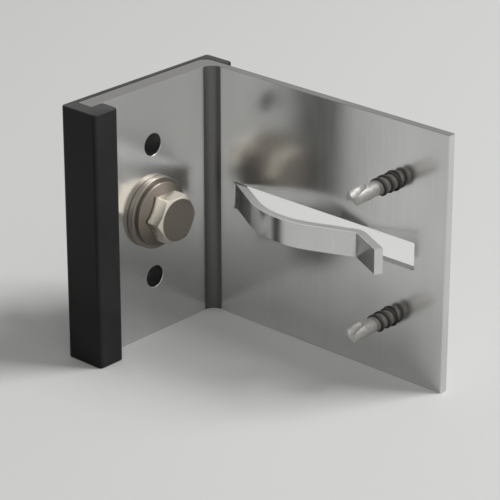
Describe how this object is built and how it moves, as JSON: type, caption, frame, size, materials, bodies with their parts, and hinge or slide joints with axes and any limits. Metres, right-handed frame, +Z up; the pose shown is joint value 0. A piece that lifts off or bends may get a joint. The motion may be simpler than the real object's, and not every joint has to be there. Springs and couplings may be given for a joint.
{
  "type": "cladding bracket",
  "caption": "L-shaped aluminium wall bracket with a lanced spring clip for a rail leg, on a black plastic isolator pad, with its anchor bolt, washer and rail screws.",
  "frame": {"origin": "point where the anchor bolt's axis meets the wall plane, which is the isolator pad's back face", "axes": "+X along the wall towards the web, +Y into the wall along the anchor bolt, +Z up along the bracket's height"},
  "size_m": [0.0597, 0.113, 0.075],
  "materials": {
    "bracket_aluminium": "bright extruded, low gloss streaks",
    "isolator_plastic": "moulded, semi-gloss",
    "anchor_steel": "warm zinc-plated",
    "screw_steel": "plain stainless"
  },
  "bodies": {
    "root": {"bracket": "bracket_aluminium", "isolator_pad": "isolator_plastic", "anchor_washer": "anchor_steel", "anchor_bolt": "anchor_steel", "rail_screws": "screw_steel"}
  },
  "joints": []
}
